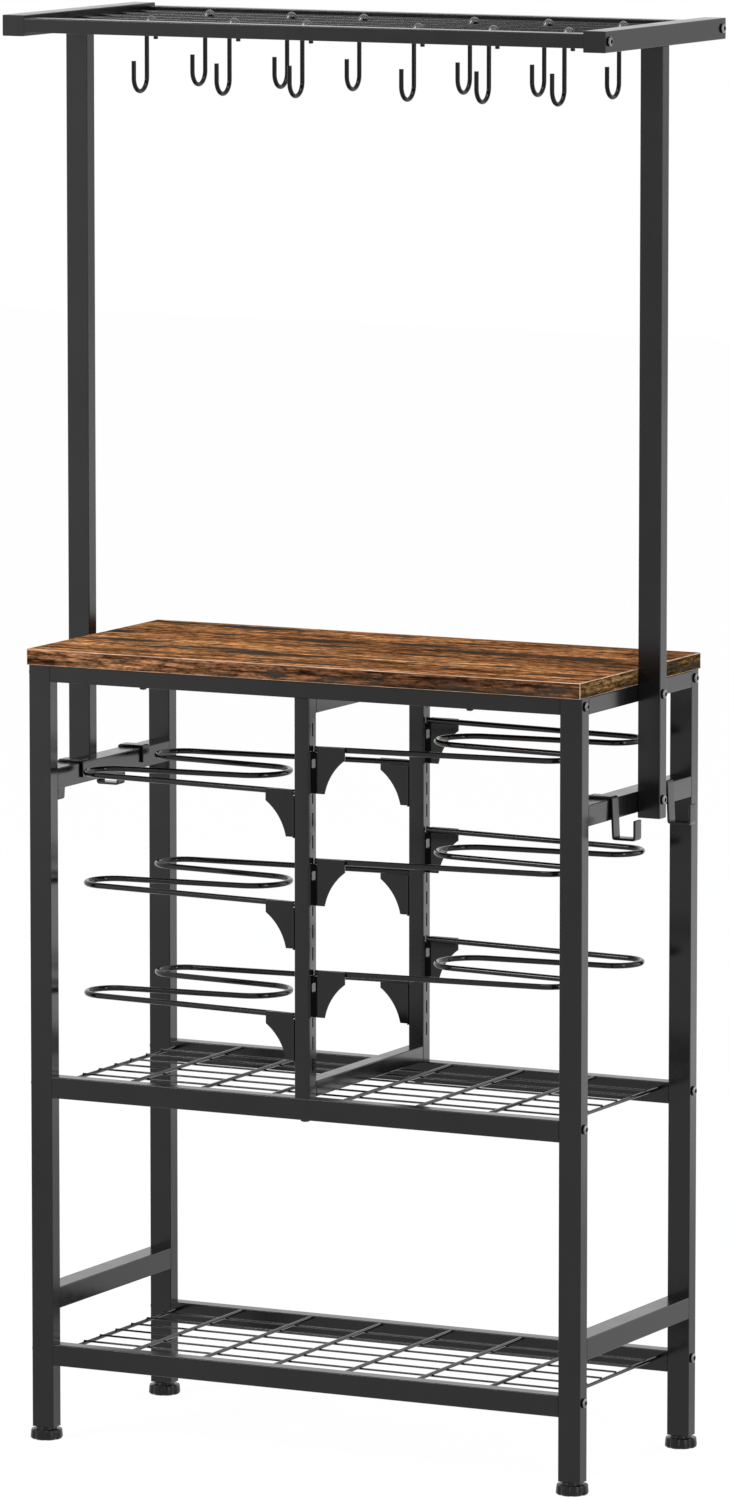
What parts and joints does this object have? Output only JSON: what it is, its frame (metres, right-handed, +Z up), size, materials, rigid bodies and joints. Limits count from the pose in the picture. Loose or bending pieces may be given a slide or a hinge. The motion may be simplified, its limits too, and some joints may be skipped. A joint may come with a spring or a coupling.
{
  "type": "bakers rack",
  "caption": "Steel bakers rack with wire shelves, a worktop, lift-out wire pan holders on a slotted divider, and a hook rack on posts above.",
  "frame": {"origin": "on the floor, under the centre of the rack's overall box", "axes": "+Z up, +X to the right along the worktop's long side, +Y to the back"},
  "size_m": [0.8078, 0.3444, 1.7347],
  "materials": {
    "frame_paint": "satin black powder coat",
    "wire_paint": "satin black powder coat",
    "black_steel": "black oxide",
    "foot_plastic": "matt",
    "plug_plastic": "matt",
    "worktop_laminate": "matt wood-grain laminate"
  },
  "bodies": {
    "frame": {"bottom_rail_back": "frame_paint", "bottom_rail_front": "frame_paint", "bottom_shelf_grid": "wire_paint", "divider_bar_bottom": "frame_paint", "divider_bar_top": "frame_paint", "divider_bolts": "black_steel", "divider_upright_back": "frame_paint", "divider_upright_front": "frame_paint", "frame_bolts": "black_steel", "gantry_rail_back": "frame_paint", "gantry_rail_front": "frame_paint", "gantry_side_rail_left": "frame_paint", "gantry_side_rail_right": "frame_paint", "hook_rail_left": "frame_paint", "hook_rail_right": "frame_paint", "leg_back_left": "frame_paint", "leg_back_right": "frame_paint", "leg_front_left": "frame_paint", "leg_front_right": "frame_paint", "leg_inserts": "plug_plastic", "lower_side_rail_left": "frame_paint", "lower_side_rail_right": "frame_paint", "mid_shelf_grid": "wire_paint", "middle_rail_back": "frame_paint", "middle_rail_front": "frame_paint", "post_left": "frame_paint", "post_right": "frame_paint", "rack_grid": "wire_paint", "top_rail_back": "frame_paint", "top_rail_front": "frame_paint", "top_side_rail_left": "frame_paint", "top_side_rail_right": "frame_paint", "worktop": "worktop_laminate", "worktop_screws": "black_steel"},
    "foot_back_left": {"foot_back_left": "foot_plastic"},
    "foot_back_right": {"foot_back_right": "foot_plastic"},
    "foot_front_left": {"foot_front_left": "foot_plastic"},
    "foot_front_right": {"foot_front_right": "foot_plastic"},
    "pan_holder_left_lower": {"pan_holder_left_lower": "wire_paint"},
    "pan_holder_left_middle": {"pan_holder_left_middle": "wire_paint"},
    "pan_holder_left_upper": {"pan_holder_left_upper": "wire_paint"},
    "pan_holder_right_lower": {"pan_holder_right_lower": "wire_paint"},
    "pan_holder_right_middle": {"pan_holder_right_middle": "wire_paint"},
    "pan_holder_right_upper": {"pan_holder_right_upper": "wire_paint"},
    "s_hook_back_1": {"s_hook_back_1": "wire_paint"},
    "s_hook_back_2": {"s_hook_back_2": "wire_paint"},
    "s_hook_back_3": {"s_hook_back_3": "wire_paint"},
    "s_hook_back_4": {"s_hook_back_4": "wire_paint"},
    "s_hook_back_5": {"s_hook_back_5": "wire_paint"},
    "s_hook_back_6": {"s_hook_back_6": "wire_paint"},
    "s_hook_front_1": {"s_hook_front_1": "wire_paint"},
    "s_hook_front_2": {"s_hook_front_2": "wire_paint"},
    "s_hook_front_3": {"s_hook_front_3": "wire_paint"},
    "s_hook_front_4": {"s_hook_front_4": "wire_paint"},
    "s_hook_front_5": {"s_hook_front_5": "wire_paint"},
    "s_hook_front_6": {"s_hook_front_6": "wire_paint"},
    "side_hook_left_back": {"side_hook_left_back": "frame_paint"},
    "side_hook_left_front": {"side_hook_left_front": "frame_paint"},
    "side_hook_right_back": {"side_hook_right_back": "frame_paint"},
    "side_hook_right_front": {"side_hook_right_front": "frame_paint"}
  },
  "joints": [
    {"name": "s_hook_front_1_swing", "type": "hinge", "parent": "frame", "child": "s_hook_front_1", "pos_m": [-0.247, -0.07455, 1.7252], "axis": [1, 0, 0], "range_deg": [-38, 45]},
    {"name": "s_hook_front_2_swing", "type": "hinge", "parent": "frame", "child": "s_hook_front_2", "pos_m": [-0.1351, -0.07455, 1.7252], "axis": [1, 0, 0], "range_deg": [-38, 45]},
    {"name": "s_hook_front_3_swing", "type": "hinge", "parent": "frame", "child": "s_hook_front_3", "pos_m": [-0.0373, -0.07455, 1.7252], "axis": [1, 0, 0], "range_deg": [-38, 45]},
    {"name": "s_hook_front_4_swing", "type": "hinge", "parent": "frame", "child": "s_hook_front_4", "pos_m": [0.1111, -0.07455, 1.7252], "axis": [1, 0, 0], "range_deg": [-38, 45]},
    {"name": "s_hook_front_5_swing", "type": "hinge", "parent": "frame", "child": "s_hook_front_5", "pos_m": [0.2098, -0.07455, 1.7252], "axis": [1, 0, 0], "range_deg": [-38, 45]},
    {"name": "s_hook_front_6_swing", "type": "hinge", "parent": "frame", "child": "s_hook_front_6", "pos_m": [0.3084, -0.07455, 1.7252], "axis": [1, 0, 0], "range_deg": [-38, 45]},
    {"name": "s_hook_back_1_swing", "type": "hinge", "parent": "frame", "child": "s_hook_back_1", "pos_m": [-0.247, 0.07455, 1.7252], "axis": [1, 0, 0], "range_deg": [-45, 45]},
    {"name": "s_hook_back_2_swing", "type": "hinge", "parent": "frame", "child": "s_hook_back_2", "pos_m": [-0.1351, 0.07455, 1.7252], "axis": [1, 0, 0], "range_deg": [-45, 45]},
    {"name": "s_hook_back_3_swing", "type": "hinge", "parent": "frame", "child": "s_hook_back_3", "pos_m": [-0.0373, 0.07455, 1.7252], "axis": [1, 0, 0], "range_deg": [-45, 45]},
    {"name": "s_hook_back_4_swing", "type": "hinge", "parent": "frame", "child": "s_hook_back_4", "pos_m": [0.1111, 0.07455, 1.7252], "axis": [1, 0, 0], "range_deg": [-45, 45]},
    {"name": "s_hook_back_5_swing", "type": "hinge", "parent": "frame", "child": "s_hook_back_5", "pos_m": [0.2098, 0.07455, 1.7252], "axis": [1, 0, 0], "range_deg": [-45, 45]},
    {"name": "s_hook_back_6_swing", "type": "hinge", "parent": "frame", "child": "s_hook_back_6", "pos_m": [0.3084, 0.07455, 1.7252], "axis": [1, 0, 0], "range_deg": [-45, 45]},
    {"name": "side_hook_left_front_slide", "type": "slide", "parent": "frame", "child": "side_hook_left_front", "axis": [0, 1, 0], "range_m": [-0.056, 0.056]},
    {"name": "side_hook_left_back_slide", "type": "slide", "parent": "frame", "child": "side_hook_left_back", "axis": [0, 1, 0], "range_m": [-0.056, 0.056]},
    {"name": "side_hook_right_front_slide", "type": "slide", "parent": "frame", "child": "side_hook_right_front", "axis": [0, 1, 0], "range_m": [-0.056, 0.056]},
    {"name": "side_hook_right_back_slide", "type": "slide", "parent": "frame", "child": "side_hook_right_back", "axis": [0, 1, 0], "range_m": [-0.056, 0.056]},
    {"name": "pan_holder_left_upper_lift", "type": "slide", "parent": "frame", "child": "pan_holder_left_upper", "axis": [0, 0, 1], "range_m": [0, 0.007]},
    {"name": "pan_holder_left_middle_lift", "type": "slide", "parent": "frame", "child": "pan_holder_left_middle", "axis": [0, 0, 1], "range_m": [0, 0.007]},
    {"name": "pan_holder_left_lower_lift", "type": "slide", "parent": "frame", "child": "pan_holder_left_lower", "axis": [0, 0, 1], "range_m": [0, 0.007]},
    {"name": "pan_holder_right_upper_lift", "type": "slide", "parent": "frame", "child": "pan_holder_right_upper", "axis": [0, 0, 1], "range_m": [0, 0.007]},
    {"name": "pan_holder_right_middle_lift", "type": "slide", "parent": "frame", "child": "pan_holder_right_middle", "axis": [0, 0, 1], "range_m": [0, 0.007]},
    {"name": "pan_holder_right_lower_lift", "type": "slide", "parent": "frame", "child": "pan_holder_right_lower", "axis": [0, 0, 1], "range_m": [0, 0.007]},
    {"name": "foot_front_left_screw", "type": "slide", "parent": "frame", "child": "foot_front_left", "axis": [0, 0, 1], "range_m": [-0.012, 0]},
    {"name": "foot_front_right_screw", "type": "slide", "parent": "frame", "child": "foot_front_right", "axis": [0, 0, 1], "range_m": [-0.012, 0]},
    {"name": "foot_back_left_screw", "type": "slide", "parent": "frame", "child": "foot_back_left", "axis": [0, 0, 1], "range_m": [-0.012, 0]},
    {"name": "foot_back_right_screw", "type": "slide", "parent": "frame", "child": "foot_back_right", "axis": [0, 0, 1], "range_m": [-0.012, 0]}
  ]
}
